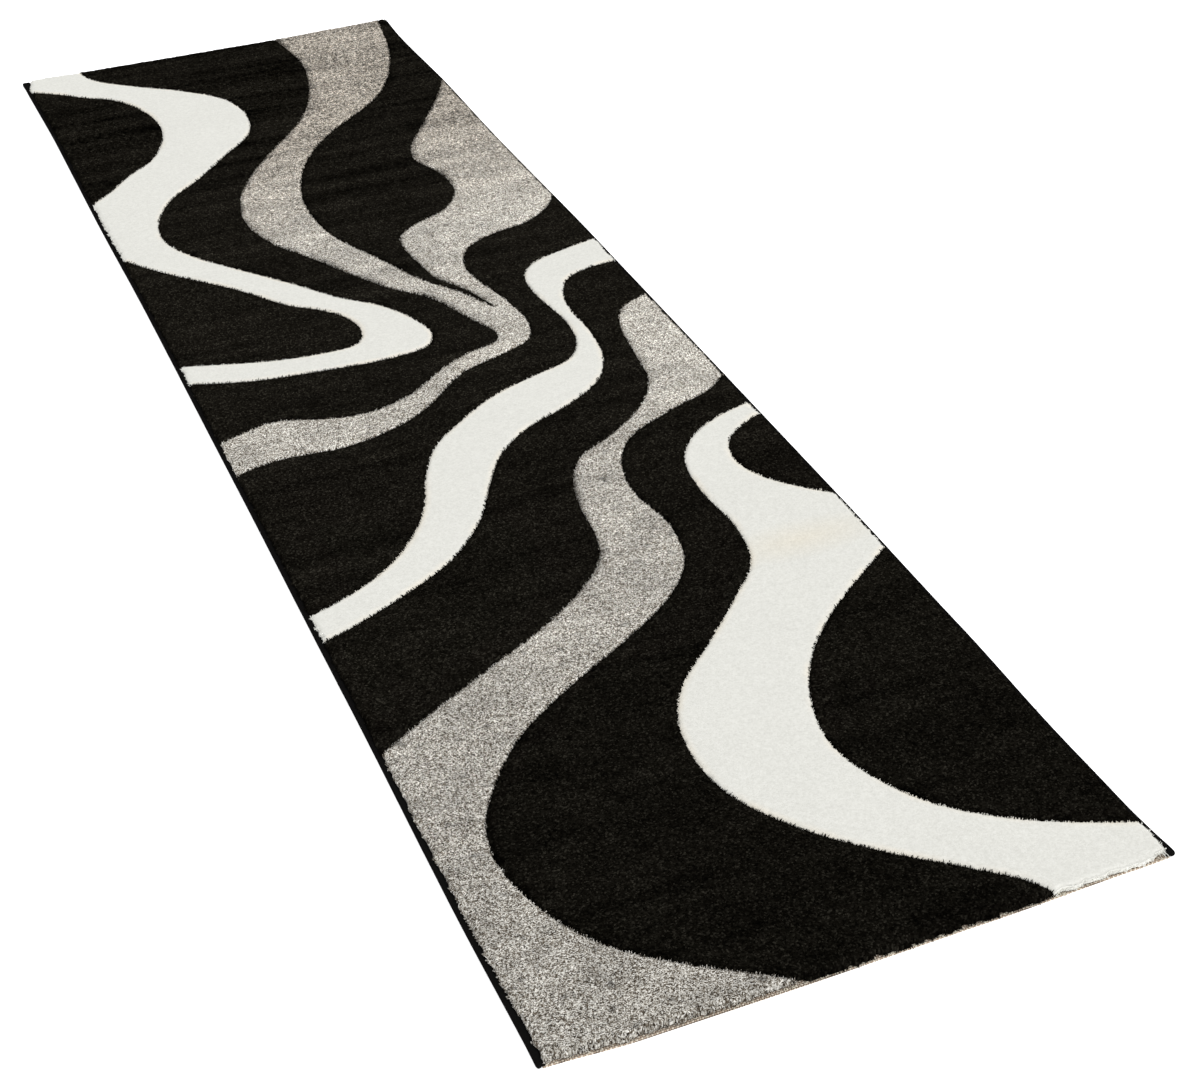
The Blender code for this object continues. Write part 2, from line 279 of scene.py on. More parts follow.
def makePaintedPileShading():
    # painted light and shade where the pile leans: along the rug, in soft clouds, and in bands across it,
    # with a painted sheen towards the far end and painted light towards the right side
    group, start, end = newGroup(
        "paintedPileShading",
        (("Vector", vectorKind, None), ("Along", floatKind, 0.2), ("Bands", floatKind, 0.3),
         ("Clouds", floatKind, 0.2), ("Far Painted Sheen", floatKind, 0.0), ("Right Painted Light", floatKind, 0.0)),
        (("Shade", floatKind), ("Far End", floatKind)),
    )
    stretched = addNode(
        group, "ShaderNodeMapping",
        {"Vector": start.outputs["Vector"], "Rotation": paintedShadingShape["bandTurn"],
         "Scale": paintedShadingShape["bandScale"]},
    )
    bands = addNode(
        group, "ShaderNodeTexNoise",
        {"Vector": stretched.outputs[0], "Scale": 1.0, "Detail": 3.0, "Roughness": 0.55},
    )
    clouds = addNode(
        group, "ShaderNodeTexNoise",
        {"Vector": start.outputs["Vector"], "Scale": paintedShadingShape["cloudsPerMetre"],
         "Detail": 4.0, "Roughness": 0.6},
    )
    alongRug = addNode(group, "ShaderNodeSeparateXYZ", {0: start.outputs["Vector"]})
    farness = addRange(
        group, alongRug.outputs["Y"], -rugHalfLength, rugHalfLength, paintedShadingShape["nearBandShare"]
    )
    # painted shade along the rug: darker at both ends, lighter in the middle
    place = addRange(group, alongRug.outputs["Y"], -rugHalfLength, rugHalfLength)
    alongPaintedShade = addRamp(group, place, [(at, (tone,) * 3) for at, tone in paintedShadeAlongRug])
    alongPaintedShade = addMath(group, "SUBTRACT", alongPaintedShade, 0.5)
    alongPaintedShade = addMath(group, "MULTIPLY", alongPaintedShade, 2.0)
    # painted light, lighter towards the right side where the middle of the rug is lit
    rightness = addRange(group, alongRug.outputs["X"], paintedShadingShape["rightFrom"], paintedShadingShape["rightTo"])
    rightLightPart = addMath(group, "MULTIPLY", rightness, addMath(group, "MAXIMUM", alongPaintedShade, 0.0))
    rightLightPart = addMath(group, "MULTIPLY", rightLightPart, start.outputs["Right Painted Light"])
    farEnd = addRange(group, alongRug.outputs["Y"], paintedShadingShape["farFrom"], paintedShadingShape["farTo"])
    group.links.new(farEnd, end.inputs["Far End"])
    # painted sheen, lighter towards the far end
    farSheenPart = addMath(group, "MULTIPLY", farEnd, start.outputs["Far Painted Sheen"])
    alongPaintedShade = addMath(group, "MULTIPLY", alongPaintedShade, start.outputs["Along"])
    alongPaintedShade = addMath(group, "ADD", alongPaintedShade, addMath(group, "ADD", rightLightPart, farSheenPart))
    # painted pile shading in bands across the rug, strongest towards the far end, and in soft clouds
    bandPart = addMath(group, "SUBTRACT", bands.outputs[0], 0.5)
    bandPart = addMath(group, "MULTIPLY", bandPart, start.outputs["Bands"])
    bandPart = addMath(group, "MULTIPLY", bandPart, farness)
    cloudPart = addMath(group, "SUBTRACT", clouds.outputs[0], 0.5)
    cloudPart = addMath(group, "MULTIPLY", cloudPart, start.outputs["Clouds"])
    shade = addMath(group, "ADD", addMath(group, "ADD", bandPart, cloudPart), 1.0)
    shade = addMath(group, "ADD", shade, alongPaintedShade)
    shade = addMath(group, "MAXIMUM", shade, paintedShadingShape["darkest"])
    group.links.new(shade, end.inputs["Shade"])
    return group


crossingSoftness = 0.25  # how softly one thread gives way to the next


def makeWeaveCheck():
    # plain weave: where the warp lies over, and how high each thread stands
    group, start, end = newGroup(
        "weaveCheck",
        (("Vector", vectorKind, None), ("Warp Pitch", floatKind, 0.003), ("Pick Pitch", floatKind, 0.003)),
        (("Warp Over", floatKind), ("Thread", floatKind)),
    )
    parts = addNode(group, "ShaderNodeSeparateXYZ", {0: start.outputs["Vector"]})
    waves = []
    for axis, pitch in (("X", "Warp Pitch"), ("Y", "Pick Pitch")):
        turns = addMath(group, "DIVIDE", parts.outputs[axis], start.outputs[pitch])
        waves.append(addMath(group, "SINE", addMath(group, "MULTIPLY", turns, math.pi)))
    crossed = addMath(group, "MULTIPLY", *waves)
    over = addRange(group, crossed, -crossingSoftness, crossingSoftness)
    thread = addMath(group, "ABSOLUTE", crossed)
    group.links.new(over, end.inputs["Warp Over"])
    group.links.new(thread, end.inputs["Thread"])
    return group


tuftGrain = makeTuftGrain()
paintedPileShading = makePaintedPileShading()
weaveCheck = makeWeaveCheck()


def newMaterial(name, roughness, specular, sheen, sheenRoughness=0.5):
    # constant finish values stand on the shader itself
    material = bpy.data.materials.new(name)
    material.use_nodes = True
    tree = material.node_tree
    shader = tree.nodes["Principled BSDF"]
    shader.inputs["Roughness"].default_value = roughness
    shader.inputs["Specular IOR Level"].default_value = specular
    shader.inputs["Sheen Weight"].default_value = sheen
    shader.inputs["Sheen Roughness"].default_value = sheenRoughness
    place = addNode(tree, "ShaderNodeTexCoord").outputs["Object"]
    return material, tree, shader, place


def addGroup(tree, group, sockets):
    node = tree.nodes.new("ShaderNodeGroup")
    node.node_tree = group
    for label, value in sockets.items():
        if isinstance(value, bpy.types.NodeSocket):
            tree.links.new(value, node.inputs[label])
        else:
            node.inputs[label].default_value = value
    return node


def addBump(tree, shader, height, strength, distance):
    bump = addNode(
        tree, "ShaderNodeBump", {"Height": height, "Strength": strength, "Distance": distance}
    )
    tree.links.new(bump.outputs[0], shader.inputs["Normal"])


# In each pile look, along, bands and clouds set how strong the painted pile shading is, the far lift is a
# painted sheen towards the far end, the right lift painted light towards the right side, the lee shade
# painted shade beside seams that face away from the light, and the white's seam tint painted light that
# brightens and warms its seams.
pileLooks = {
    "blackPile": {
        "yarnTones": (
            (0.0, (0.0020, 0.0017, 0.0012)), (0.5, (0.0057, 0.0050, 0.0037)),
            (0.85, (0.0108, 0.0097, 0.0074)), (1.0, (0.027, 0.0248, 0.0192)),
        ),
        "tuftSize": 0.0021, "along": 0.35, "bands": 3.2, "clouds": 1.0, "farPaintedSheen": 0.28, "rightPaintedLight": 0.0,
        "fibreShade": 0.5, "clumpShade": 0.45, "farClump": 1.4, "paintedLeeStrength": 0.45,
        "smudgeShade": 0.2,
        "specular": 0.0, "sheen": 0.0, "bumpDepth": 0.0009,
    },
    "whitePile": {
        "yarnTones": (
            (0.0, (0.655, 0.652, 0.608)), (0.5, (0.700, 0.697, 0.652)), (1.0, (0.735, 0.733, 0.690)),
        ),
        "tuftSize": 0.0021, "along": 0.0, "bands": 0.03, "clouds": 0.05, "farPaintedSheen": 0.0, "rightPaintedLight": 0.0,
        "fibreShade": 0.06, "clumpShade": 0.06, "farClump": 0.0, "paintedLeeStrength": 0.05,
        "smudgeShade": 0.0, "seamWarmPaintedLight": (1.11, 1.06, 1.0),
        "specular": 0.1, "sheen": 0.04, "bumpDepth": 0.0003,
    },
    "greyPile": {
        "yarnTones": (
            (0.0, (0.016, 0.011, 0.007)), (0.27, (0.122, 0.096, 0.068)), (0.5, (0.368, 0.340, 0.292)),
            (0.73, (0.64, 0.618, 0.562)), (1.0, (0.96, 0.94, 0.885)),
        ),
        "tuftSize": 0.00122, "along": 0.19, "bands": 1.0, "clouds": 0.9, "farPaintedSheen": 0.0, "rightPaintedLight": 0.30,
        "fibreShade": 0.75, "clumpShade": 0.35, "farClump": 3.3, "paintedLeeStrength": 0.65,
        "smudgeShade": 0.4, "farTint": (1.0, 0.955, 0.91),
        "specular": 0.1, "sheen": 0.03, "bumpDepth": 0.0009,
    },
}
pileMottle = {  # patterns that all three piles share
    "smudgesPerMetre": 62.0, "smudgeFrom": 0.64, "smudgeTo": 0.74,
    "patchesPerMetre": 16.0, "patchFrom": 0.4, "patchTo": 0.6, "patchLeast": 0.15,
    "darkest": 0.15, "bumpStrength": 0.8,
}
warmPatch = {"place": (0.30, -0.73, 0.0), "size": (0.14, 0.05, 1.0), "tint": (1.02, 0.975, 0.905)}


def addTint(tree, colour, share, tint):
    # multiplies by the tint as far as share says
    return addNode(
        tree, "ShaderNodeMix", {0: share, 6: colour, 7: (*tint, 1)}, data_type="RGBA", blend_type="MULTIPLY"
    ).outputs[2]


def makePileMaterial(name, look):
    material, tree, shader, place = newMaterial(name, 1.0, look["specular"], look["sheen"])
    grain = addGroup(tree, tuftGrain, {"Vector": place, "Tuft Size": look["tuftSize"]})
    # painted pile shading: light and shade of the leaning pile, and where the far end begins
    lean = addGroup(
        tree, paintedPileShading,
        {"Vector": place, "Along": look["along"], "Bands": look["bands"], "Clouds": look["clouds"],
         "Far Painted Sheen": look["farPaintedSheen"], "Right Painted Light": look["rightPaintedLight"]},
    )
    yarn = addRamp(tree, grain.outputs["Tuft"], look["yarnTones"])
    fibre = addMath(tree, "SUBTRACT", grain.outputs["Fibre"], 0.5)
    fibre = addMath(tree, "MULTIPLY", fibre, look["fibreShade"] * 2)
    clump = addMath(tree, "SUBTRACT", grain.outputs["Clump"], 0.5)
    farBoost = addMath(tree, "MULTIPLY_ADD", lean.outputs["Far End"], look["farClump"])
    farBoost.node.inputs[2].default_value = 1.0
    clump = addMath(tree, "MULTIPLY", clump, look["clumpShade"] * 2)
    clump = addMath(tree, "MULTIPLY", clump, farBoost)
    smudge = addNoise(tree, place, pileMottle["smudgesPerMetre"], 1.0)
    smudge = addRange(tree, smudge, pileMottle["smudgeFrom"], pileMottle["smudgeTo"])
    smudge = addMath(tree, "MULTIPLY", smudge, look["smudgeShade"])
    # painted shade beside the seams that face away from the light, in patches
    paintedLee = addNode(tree, "ShaderNodeAttribute", attribute_name="paintedLee").outputs["Fac"]
    patchy = addNoise(tree, place, pileMottle["patchesPerMetre"], 2.0)
    patchy = addRange(tree, patchy, pileMottle["patchFrom"], pileMottle["patchTo"], pileMottle["patchLeast"])
    paintedLeeDark = addMath(tree, "MULTIPLY", addMath(tree, "MULTIPLY", paintedLee, patchy), look["paintedLeeStrength"])
    shade = addMath(tree, "ADD", lean.outputs["Shade"], fibre)
    shade = addMath(tree, "ADD", shade, clump)
    shade = addMath(tree, "SUBTRACT", addMath(tree, "SUBTRACT", shade, paintedLeeDark), smudge)
    shade = addMath(tree, "MAXIMUM", shade, pileMottle["darkest"])
    shaded = addNode(tree, "ShaderNodeVectorMath", {0: yarn, "Scale": shade}, operation="SCALE").outputs[0]
    if "farTint" in look:
        shaded = addTint(tree, shaded, lean.outputs["Far End"], look["farTint"])
    # painted light: near its seams the white pile is made brighter and warmer, in patches, lifting the shade
    # of the carved shoulders
    if "seamWarmPaintedLight" in look:
        seam = addNode(tree, "ShaderNodeAttribute", attribute_name="seam").outputs["Fac"]
        shaded = addTint(tree, shaded, addMath(tree, "MULTIPLY", seam, patchy), look["seamWarmPaintedLight"])
        centred = addNode(
            tree, "ShaderNodeMapping",
            {"Vector": place, "Location": warmPatch["place"], "Scale": warmPatch["size"]},
            vector_type="TEXTURE",
        )
        glow = addNode(
            tree, "ShaderNodeTexGradient", {"Vector": centred.outputs[0]}, gradient_type="SPHERICAL"
        )
        shaded = addTint(tree, shaded, glow.outputs["Fac"], warmPatch["tint"])
    tree.links.new(shaded, shader.inputs["Base Color"])
    addBump(tree, shader, grain.outputs["Tip"], pileMottle["bumpStrength"], look["bumpDepth"])
    return material


pileMaterials = {name: makePileMaterial(name, look) for name, look in pileLooks.items()}

weaveLook = {
    "warpPitch": 0.0030, "pickPitch": 0.0029,
    # the gap tone is painted shade in the dips between the threads
    "warpTone": (0.70, 0.62, 0.52), "pickTone": (0.42, 0.33, 0.25), "gapShadeTone": (0.08, 0.058, 0.042),
    "gapShare": 0.35, "fuzzSize": 0.0008, "fuzz": 0.5,
    "bumpDepth": 0.0006, "bumpStrength": 0.7,
}


def makeWeaveMaterial(look):
    material, tree, shader, place = newMaterial("tanWeave", 0.9, 0.2, 0.05)
    check = addGroup(
        tree, weaveCheck,
        {"Vector": place, "Warp Pitch": look["warpPitch"], "Pick Pitch": look["pickPitch"]},
    )
    grain = addGroup(tree, tuftGrain, {"Vector": place, "Tuft Size": look["fuzzSize"], "Height Hold": 1.0})
    threads = addRamp(tree, check.outputs["Warp Over"], ((0.0, look["pickTone"]), (1.0, look["warpTone"])))
    # painted shade darkens the threads where they dip between each other
    depth = addRamp(tree, check.outputs["Thread"], ((0.0, look["gapShadeTone"]), (look["gapShare"], (1, 1, 1))))
    woven = addNode(tree, "ShaderNodeVectorMath", {0: threads, 1: depth}, operation="MULTIPLY")
    fuzz = addMath(tree, "MULTIPLY_ADD", grain.outputs["Fibre"], look["fuzz"])
    fuzz.node.inputs[2].default_value = 1 - look["fuzz"] / 2
    worn = addNode(tree, "ShaderNodeVectorMath", {0: woven.outputs[0], "Scale": fuzz}, operation="SCALE")
    tree.links.new(worn.outputs[0], shader.inputs["Base Color"])
    addBump(tree, shader, check.outputs["Thread"], look["bumpStrength"], look["bumpDepth"])
    return material


yarnLooks = {
    "overcastYarn": {
        "tones": ((0.3, (0.0032, 0.0031, 0.0030)), (0.7, (0.0085, 0.0082, 0.0080))),
        "strands": (500.0, 2600.0, 500.0), "roughness": 0.9, "specular": 0.0, "sheen": 0.0,
        "bumpDepth": 0.0002,
    },
    "fillerCord": {
        "tones": ((0.3, (0.40, 0.36, 0.29)), (0.7, (0.62, 0.57, 0.48))),
        "strands": (1400.0, 500.0, 1400.0), "roughness": 0.95, "specular": 0.1, "sheen": 0.05,
        "bumpDepth": 0.0002,
    },
    "warpYarn": {
        "tones": ((0.3, (0.42, 0.38, 0.30)), (0.7, (0.80, 0.76, 0.65))),
        "strands": (900.0, 900.0, 900.0), "roughness": 0.95, "specular": 0.1, "sheen": 0.05,
        "bumpDepth": 0.0002,
    },
}


yarnBumpStrength = 0.6


def makeYarnMaterial(name, look):
    # fine strands lie along the yarn, which runs round the edge or along the cord
    material, tree, shader, place = newMaterial(name, look["roughness"], look["specular"], look["sheen"])
    drawn = addNode(tree, "ShaderNodeMapping", {"Vector": place, "Scale": look["strands"]})
    strands = addNode(tree, "ShaderNodeTexNoise", {"Vector": drawn.outputs[0], "Scale": 1.0, "Detail": 2.0})
    tones = addRamp(tree, strands.outputs[0], look["tones"])
    tree.links.new(tones, shader.inputs["Base Color"])
    addBump(tree, shader, strands.outputs[0], yarnBumpStrength, look["bumpDepth"])
    return material


weaveMaterial = makeWeaveMaterial(weaveLook)
yarnMaterials = {name: makeYarnMaterial(name, look) for name, look in yarnLooks.items()}
print("materials made")


pileShape = {
    "voxelSize": 0.0025,
    "cutLevel": 0.0037,  # the hidden underside of each field
    "wallTop": 0.0090, "wallSlope": 0.6, "topSlope": 0.35,  # steepness that tells wall from top
    "seamWidth": 0.0050, "seamDrop": 0.0016,  # the rolled shoulder where two colours meet
    "rimWidth": 0.0065, "rimDrop": 0.0022,  # and where the pile ends at the binding or header
    "undulation": 0.0003, "undulationPerMetre": 22.0,
    "wallRagged": 0.0003, "sideways": 0.0005,
    "clumpPerMetre": 150.0, "wanderPerMetre": 70.0, "wander": 0.75,
    "seamClump": 0.0007, "rimClump": 0.0014, "rimIn": 0.0011,
    "endGapIn": 0.0036, "endGapWidth": 0.0022, "endGapDepth": 0.0042,  # gap behind the last row
    "endGapPerMetre": (90, 40), "endGapFrom": -0.1,  # and where it is broken
    "overhang": {"black": 0.0042, "grey": 0.0026, "white": 0.0040},
    "overhangWave": {"black": 0.0120, "grey": 0.0024, "white": 0.0036},
    "overhangMost": 0.0052,
    "overhangReach": 0.020, "overhangPerMetre": 62.0, "overhangStop": 0.366, "overhangFade": 0.02,
    # how far from a wall the painted shade beside seams and the white's painted light at seams reach
    "paintedLeeWidth": 0.016, "seamPaintedLightWidth": 0.012,
}
awayFromLight = Vector((-0.95, -0.30, 0))  # the pile leans away from the light along edges facing this way, and they get painted shade
cornerPulls = (  # corners where the pile stops short and bares the binding: place, reach, pull
    (Vector((0.393, -1.4965, 0)), 0.036, Vector((-0.0032, 0.0016, 0))),
    (Vector((-0.393, 1.4965, 0)), 0.050, Vector((0.0085, -0.0030, 0))),
    (Vector((-0.393, -1.4965, 0)), 0.180, Vector((0.0018, 0.0, 0))),
)


def cornerPull(point):
    for corner, reach, pull in cornerPulls:
        away = (Vector((point.x, point.y, 0)) - corner).length
        if away < reach:
            return pull * (1 - away / reach)
    return Vector((0, 0, 0))


fieldTable = (
    ("far_left_black_cap", "black"), ("far_white_band", "white"), ("left_black_tongue", "black"),
    ("far_black_band", "black"), ("far_grey_fork", "grey"), ("far_right_black_wedge", "black"),
    ("upper_black_band", "black"), ("middle_white_band", "white"), ("middle_black_band", "black"),
    ("near_grey_band", "grey"), ("near_black_band", "black"), ("near_white_band", "white"),
    ("right_black_lens", "black"), ("near_right_black_bay", "black"),
)
tuftHeights = {"black": 0.00050, "white": 0.00024, "grey": 0.00045}  # how uneven the cut tips are

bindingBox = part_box("right_overcast_edge")
bindingGap = 0.0003
pileHalfWidth = bindingBox[0].x - bindingGap
pileHalfLength = max(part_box(name)[1].y for name, colour in fieldTable)
rimMargin = 0.0025  # a wall this near the pile's own outline is a rim, not a seam
levelSlack = 0.0005
uprightSlope = 0.3


def remeshed(bm, voxelSize):
    # an even net of vertices over the whole field, one for each tuft
    mesh = bpy.data.meshes.new("work")
    bm.to_mesh(mesh)
    bm.free()
    work = bpy.data.objects.new("work", mesh)
    bpy.context.scene.collection.objects.link(work)
    remesh = work.modifiers.new("Remesh", "REMESH")
    remesh.mode = "VOXEL"
    remesh.voxel_size = voxelSize
    graph = bpy.context.evaluated_depsgraph_get()
    evaluated = work.evaluated_get(graph)
    result = bmesh.new()
    result.from_mesh(evaluated.to_mesh())
    evaluated.to_mesh_clear()
    bpy.data.objects.remove(work)
    bpy.data.meshes.remove(mesh)
    return result


def nearEnd(point):
    return abs(point.y) > pileHalfLength - rimMargin


def nearRim(point):
    return abs(point.x) > pileHalfWidth - rimMargin or nearEnd(point)


def ragged(point, kind, seed):
    # how far the edge of the pile wanders out or in, the same at every height
    shape = pileShape
    flat = Vector((point.x, point.y, 0))
    clump = noise.noise(flat * shape["clumpPerMetre"] + Vector((0, 0, seed)))
    wander = noise.noise(flat * shape["wanderPerMetre"] + Vector((0, 0, seed + 50)))
    if kind == "seam":
        return clump * shape["seamClump"] * 2
    return (clump + wander * shape["wander"]) * shape["rimClump"] * 2 - shape["rimIn"]


def overhang(point, colour):
    # the pile leans towards the near end, so its last rows hang out over the header there
    shape = pileShape
    share = smoothFall(point.y + pileHalfLength, shape["overhangReach"])
    if not share:
        return Vector((0, 0, 0))
    share *= smoothFall(point.x - shape["overhangStop"], shape["overhangFade"])
    wave = noise.noise(Vector((point.x * shape["overhangPerMetre"], 0, 7)))
    reach = shape["overhang"][colour] + wave * shape["overhangWave"][colour]
    return Vector((0, -share * min(reach, shape["overhangMost"]), 0))


def makePileField(nodeName, colour, seed):
    shape = pileShape
    bm = remeshed(mergedCopy(nodeName), shape["voxelSize"])
    bmesh.ops.bisect_plane(
        bm, geom=bm.verts[:] + bm.edges[:] + bm.faces[:],
        plane_co=(0, 0, shape["cutLevel"]), plane_no=upwards, clear_inner=True,
    )
    bm.normal_update()
    wall = [v for v in bm.verts if v.co.z < shape["wallTop"] and abs(v.normal.z) < shape["wallSlope"]]
    tree = KDTree(len(wall))
    for number, vert in enumerate(wall):
        tree.insert((vert.co.x, vert.co.y, 0), number)
    tree.balance()
    # for each wall point: whether it is at the rim, its way out, and how much painted shade it gives as it
    # faces away from the light
    wallFacts = []
    for vert in wall:
        outward = Vector((vert.normal.x, vert.normal.y, 0)).normalized()
        wallFacts.append((nearRim(vert.co), outward, max(0.0, outward.dot(awayFromLight))))
    paintedLeeLayer = bm.verts.layers.float.new("paintedLee")
    seamLayer = bm.verts.layers.float.new("seam")
    rng = random.Random(seed)
    unevenness = tuftHeights[colour]
    for vert in bm.verts:
        place = vert.co.copy()
        number, away = tree.find((place.x, place.y, 0))[1:]
        atRim, outward, paintedLee = wallFacts[number]
        # painted shade near seams facing away from the light, and the seam mask for the white's painted
        # light
        vert[paintedLeeLayer] = 0 if atRim else paintedLee * smoothFall(away, shape["paintedLeeWidth"])
        vert[seamLayer] = 0 if atRim else smoothFall(away, shape["seamPaintedLightWidth"])
        vert.co += cornerPull(place) + overhang(place, colour)
        if place.z < shape["cutLevel"] + levelSlack:
            continue
        kind = "rim" if atRim else "seam"
        vert.co += outward * ragged(place, kind, seed) * smoothFall(away, shape[kind + "Width"])
        toss = rng.uniform(-1, 1)
        if vert.normal.z > shape["topSlope"]:
            ripple = noise.noise(place * shape["undulationPerMetre"])
            drop = shape[kind + "Drop"] * smoothFall(away, shape[kind + "Width"])
            gapPlace = abs(abs(place.y) - (pileHalfLength - shape["endGapIn"]))
            if gapPlace < shape["endGapWidth"] and colour != "white":
                across, along = shape["endGapPerMetre"]
                broken = noise.noise(Vector((place.x * across, place.y * along, seed)))
                if broken > shape["endGapFrom"]:
                    drop += shape["endGapDepth"] * smoothFall(gapPlace, shape["endGapWidth"])
            vert.co.z += shape["undulation"] * ripple + unevenness * toss - drop
            vert.co.x += shape["sideways"] * rng.uniform(-1, 1)
            vert.co.y += shape["sideways"] * rng.uniform(-1, 1)
        else:
            vert.co += outward * shape["wallRagged"] * toss
    openEdges = [edge for edge in bm.edges if edge.is_boundary]
    bmesh.ops.holes_fill(bm, edges=openEdges, sides=0)
    bmesh.ops.recalc_face_normals(bm, faces=bm.faces)
    material = pileMaterials[colour + "Pile"]
    piece = finishPiece(nodeName + "_pile", bm, material)
    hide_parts(nodeName)
    return piece


tuftShape = {
    "spacing": 0.0019,
    "sides": 4,
    "thickness": (0.0008, 0.0013),
    "tipShare": 0.35,
    "seamLength": (0.0041, 0.0053), "rimLength": (0.0044, 0.0063), "toothLength": (0.0044, 0.0075),
    "seamFoot": (0.0074, 0.0086),  # heights of the feet at a seam between colours
    "toothFoot": (0.0084, 0.0094),  # at a seam on the field's far side they reach over their neighbour
    "rimFoot": (0.0052, 0.0082),
    "seamLean": (-0.05, 0.85), "toothLean": (0.20, 1.15), "rimLean": (0.20, 0.92), "endLean": (0.80, 2.05),
    "spread": 0.16,
    "clumpPerMetre": 190.0, "clumping": 1.7, "shortWhenUpright": 0.3,
    "sway": 0.35, "toothFacing": 0.3,
    "setBack": 0.0015,
    "batch": 150,
}
teethByColour = {"black": 1.0, "white": 0.6, "grey": 0.75}  # how far the tufts lean over a seam
toothReach = {"black": 1.0, "white": 0.7, "grey": 0.8}  # and how long those are
tuftSeedStep = 100  # a field's tufts are numbered this far on from the field itself


def outlineOf(nodeName):
    # the foot of each wall, as start, end and the way out
    bm = mergedCopy(nodeName)
    low = min(vert.co.z for vert in bm.verts)
    outline = []
    for edge in bm.edges:
        start, end = (vert.co for vert in edge.verts)
        if max(start.z, end.z) > low + levelSlack:
            continue
        walls = [face for face in edge.link_faces if abs(face.normal.z) < uprightSlope]
        if walls:
            outline.append((start.copy(), end.copy(), walls[0].normal.copy()))
    bm.free()
    outline.sort(key=lambda row: (round(row[0].x, 5), round(row[0].y, 5), round(row[1].x, 5)))
    return outline


def tuftMatrix(foot, direction, length):
    turn = upwards.rotation_difference(direction).to_matrix().to_4x4()
    return Matrix.Translation(foot + direction * length / 2) @ turn


def clumpShare(foot, seed):
    # neighbours lean together in clumps
    shape = tuftShape
    clump = noise.noise(Vector((foot.x, foot.y, 0)) * shape["clumpPerMetre"] + Vector((0, 0, seed)))
    return min(max(0.5 + shape["clumping"] * clump, 0.0), 1.0)


def tuftKind(foot, outward):
    if not nearRim(foot):
        return "tooth" if outward.y > tuftShape["toothFacing"] else "seam"
    return "end" if nearEnd(foot) else "rim"


def makeEdgeTufts(nodeName, colour, seed):
    shape = tuftShape
    rng = random.Random(seed)
    places = []
    for start, end, outward in outlineOf(nodeName):
        count = max(1, round((end - start).length / shape["spacing"]))
        sideways = Vector((-outward.y, outward.x, 0))
        for step in range(count):
            foot = start.lerp(end, (step + rng.random()) / count)
            kind = tuftKind(foot, outward)
            share = clumpShare(foot, seed)
            low, high = shape[kind + "Lean"]
            if kind in ("tooth", "seam"):
                high = low + (high - low) * teethByColour[colour]
            lean = low + (high - low) * share + rng.uniform(-1, 1) * shape["spread"]
            sway = rng.uniform(-1, 1) * shape["sway"]
            direction = outward * math.sin(lean) + sideways * sway + upwards * math.cos(lean)
            direction.normalize()
            atRim = kind in ("rim", "end")
            # painted shade for tufts at seams facing away from the light
            paintedLee = 0.0 if atRim else max(0.0, outward.dot(awayFromLight))
            wander = ragged(foot, "rim" if atRim else "seam", seed - tuftSeedStep)
            foot = foot + outward * (wander - shape["setBack"]) + cornerPull(foot) + overhang(foot, colour)
            foot.z = rng.uniform(*shape[("rim" if atRim else kind) + "Foot"])
            length = rng.uniform(*shape[("rim" if atRim else kind) + "Length"])
            length *= 1 - shape["shortWhenUpright"] * (1 - share)
            if kind == "tooth":
                length *= toothReach[colour]
            thickness = rng.uniform(*shape["thickness"])
            places.append((tuftMatrix(foot, direction, length), length, thickness, paintedLee, not atRim))
    whole = bmesh.new()
    whole.verts.layers.float.new("paintedLee")
    whole.verts.layers.float.new("seam")
    for first in range(0, len(places), shape["batch"]):
        part = bmesh.new()
        paintedLeeLayer = part.verts.layers.float.new("paintedLee")
        seamLayer = part.verts.layers.float.new("seam")
        for matrix, length, thickness, paintedLee, seam in places[first:first + shape["batch"]]:
            made = bmesh.ops.create_cone(
                part, cap_ends=True, segments=shape["sides"], radius1=thickness,
                radius2=thickness * shape["tipShare"], depth=length, matrix=matrix,
            )
            for vert in made["verts"]:
                vert[paintedLeeLayer] = paintedLee
                vert[seamLayer] = seam
        mesh = bpy.data.meshes.new("work")
        part.to_mesh(mesh)
        part.free()
        whole.from_mesh(mesh)
        bpy.data.meshes.remove(mesh)
    return finishPiece(nodeName + "_edge_tufts", whole, pileMaterials[colour + "Pile"])


fieldSeed = 100
for number, (nodeName, colour) in enumerate(fieldTable):
    makePileField(nodeName, colour, fieldSeed + number)
    makeEdgeTufts(nodeName, colour, fieldSeed + tuftSeedStep + number)


overcastLook = {
    "wrapPitch": 0.0024, "ringsPerWrap": 3, "ridge": 0.00026,
    "outerSides": 11, "innerSides": 5, "wall": 0.0012,
    "slotLow": 0.0015, "slotHigh": 0.0033,
    "roundedEnd": 0.0050, "endShare": 0.40,
    "bulbLength": 0.040, "bulb": {"left": (0.14, 0.34), "right": (0.36, 0.20)},  # wound double, near and far
    "wobble": 0.0002,
    "tuck": 0.0030,  # how far the yarn runs in under the pile, and how much further at the bared corners
    "deeper": {"left": (0.0010, 0.0050), "right": (0.0014, 0.0)},  # near and far
    "deeperReach": {"left": (0.200, 0.045), "right": (0.045, 0.045)},
}


def slottedOval(halfWidth, halfHeight, slotLow, slotHigh, sides):
    # an oval's points from the slot's upper lip the long way round to its lower lip
    first = math.pi - math.asin((slotHigh - halfHeight) / halfHeight)
    last = -math.pi - math.asin((slotLow - halfHeight) / halfHeight)
    points = []
    for step in range(sides + 1):
        angle = first + (last - first) * step / sides
        points.append(Vector((halfWidth * math.cos(angle), 0, halfHeight * math.sin(angle))))
    return points


